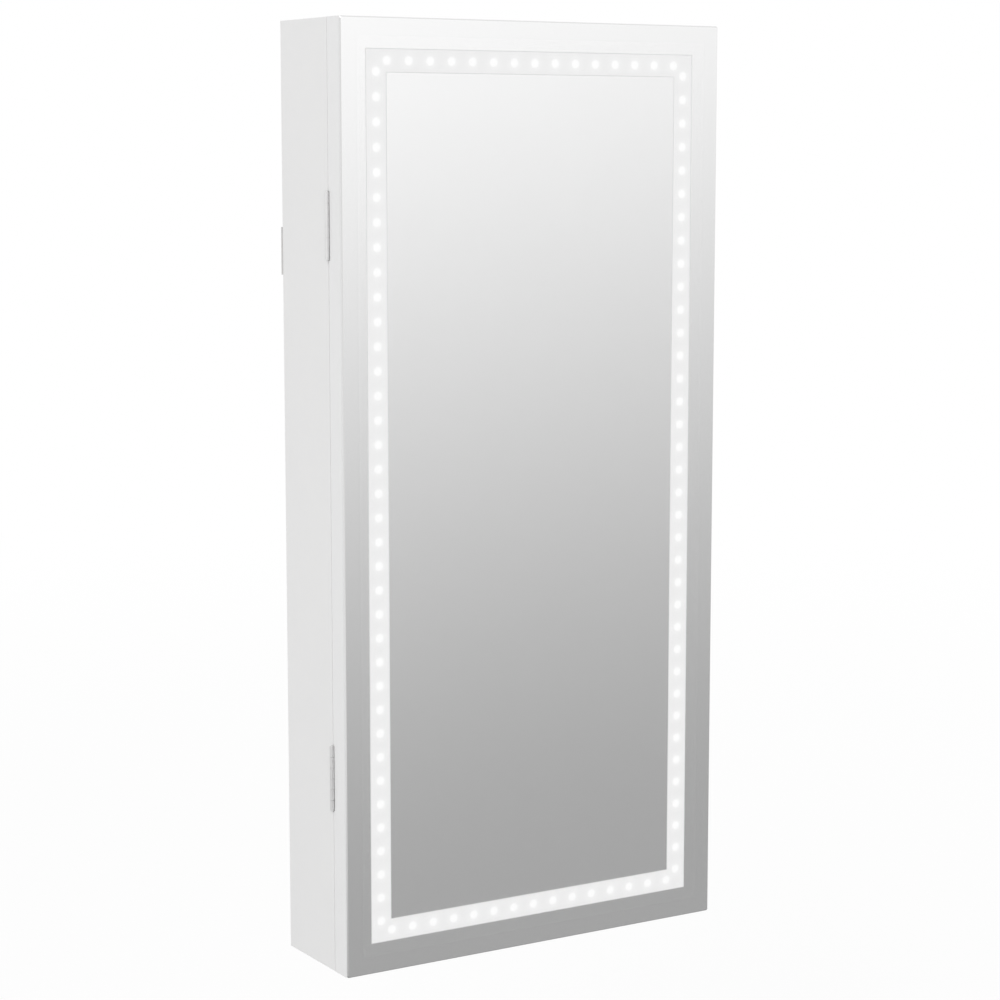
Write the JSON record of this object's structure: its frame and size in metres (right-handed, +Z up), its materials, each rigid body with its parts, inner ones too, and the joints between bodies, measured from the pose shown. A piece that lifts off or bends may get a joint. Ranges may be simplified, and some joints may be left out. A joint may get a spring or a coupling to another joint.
{
  "type": "jewelry mirror cabinet",
  "caption": "Slim wall cabinet with a frameless mirror door, a lit frosted band, hinges on the left and fitted velvet lined storage inside.",
  "frame": {"origin": "midway between the two hanger keyholes, on the wall plane", "axes": "+X right as seen from the front, +Y into the wall, +Z up"},
  "size_m": [0.3094, 0.089, 0.655],
  "materials": {
    "white_board": "smooth white painted fibreboard, satin",
    "door_board": "white painted fibreboard, satin",
    "back_board": "thin white faced hardboard, matt",
    "dowel_wood": "fluted beech, unfinished",
    "velvet": "charcoal velvet on thin board, short pile",
    "velvet_rolls": "charcoal velvet over soft foam",
    "velvet_bar": "charcoal velvet over a round bar",
    "hinge_steel": "nickel plated steel",
    "zinc_steel": "zinc plated steel",
    "magnet": "plated magnet",
    "clear_glass": "clear float glass, ground edges",
    "silver": "silvered back of the pane",
    "frosted": "sandblasted band, even matt",
    "light_tape": "white flexible circuit",
    "light_chip": "lit cold white chip",
    "lead_sheath": "white sheath",
    "bumper_rubber": "clear soft dot",
    "clear_acrylic": "clear acrylic, polished edges",
    "case_plastic": "fine textured white moulding",
    "slider_plastic": "black moulding",
    "contact_metal": "nickel plated strip",
    "cell_jacket": "plain sleeve",
    "peg_metal": "turned and plated"
  },
  "bodies": {
    "cabinet": {"side_panel_left": "white_board", "side_panel_right": "white_board", "top_panel": "white_board", "bottom_panel": "white_board", "necklace_rail": "white_board", "back_panel": "back_board", "corner_dowels": "dowel_wood", "back_lining": "velvet", "side_lining_left": "velvet", "side_lining_right": "velvet", "top_lining": "velvet", "bottom_lining": "velvet", "ring_shelf": "velvet", "upper_shelf": "velvet", "lower_shelf": "velvet", "floor_dividers": "velvet", "ring_rolls": "velvet_rolls", "bracelet_bar": "velvet_bar", "cabinet_hinge_leaf_upper": "hinge_steel", "cabinet_hinge_leaf_lower": "hinge_steel", "hinge_pin_upper": "hinge_steel", "hinge_pin_lower": "hinge_steel", "cabinet_hinge_screws": "hinge_steel", "hanger_plates": "zinc_steel", "hanger_screws": "zinc_steel", "rail_screws": "zinc_steel", "shelf_pins": "zinc_steel", "bracelet_sockets": "zinc_steel", "catch_magnets": "magnet", "shelf_lips": "clear_acrylic", "necklace_pegs": "peg_metal"},
    "door": {"door_core": "door_board", "mirror_glass": "clear_glass", "silver_coat": "silver", "frosted_band": "frosted", "led_tapes": "light_tape", "led_chips": "light_chip", "led_lead": "lead_sheath", "door_lining": "velvet", "door_hinge_leaf_upper": "hinge_steel", "door_hinge_leaf_lower": "hinge_steel", "door_hinge_screws": "hinge_steel", "strike_plates": "zinc_steel", "strike_screws": "zinc_steel", "door_bumpers": "bumper_rubber", "earring_strip_1": "clear_acrylic", "earring_strip_2": "clear_acrylic", "earring_strip_3": "clear_acrylic", "earring_strip_4": "clear_acrylic", "earring_spacers": "clear_acrylic", "earring_screws": "zinc_steel", "battery_case": "case_plastic", "battery_cells": "cell_jacket", "battery_contacts": "contact_metal", "switch_body": "case_plastic"},
    "battery_cover": {"battery_cover": "case_plastic"},
    "switch_slider": {"switch_slider": "slider_plastic"}
  },
  "joints": [
    {"name": "door_hinge", "type": "hinge", "parent": "cabinet", "child": "door", "pos_m": [-0.1543, -0.07045, -0.1675], "axis": [0, 0, -1], "range_deg": [0, 170]},
    {"name": "cover_slide", "type": "slide", "parent": "door", "child": "battery_cover", "axis": [1, 0, 0], "range_m": [0, 0.062]},
    {"name": "switch_travel", "type": "slide", "parent": "door", "child": "switch_slider", "axis": [1, 0, 0], "range_m": [0, 0.004]}
  ]
}
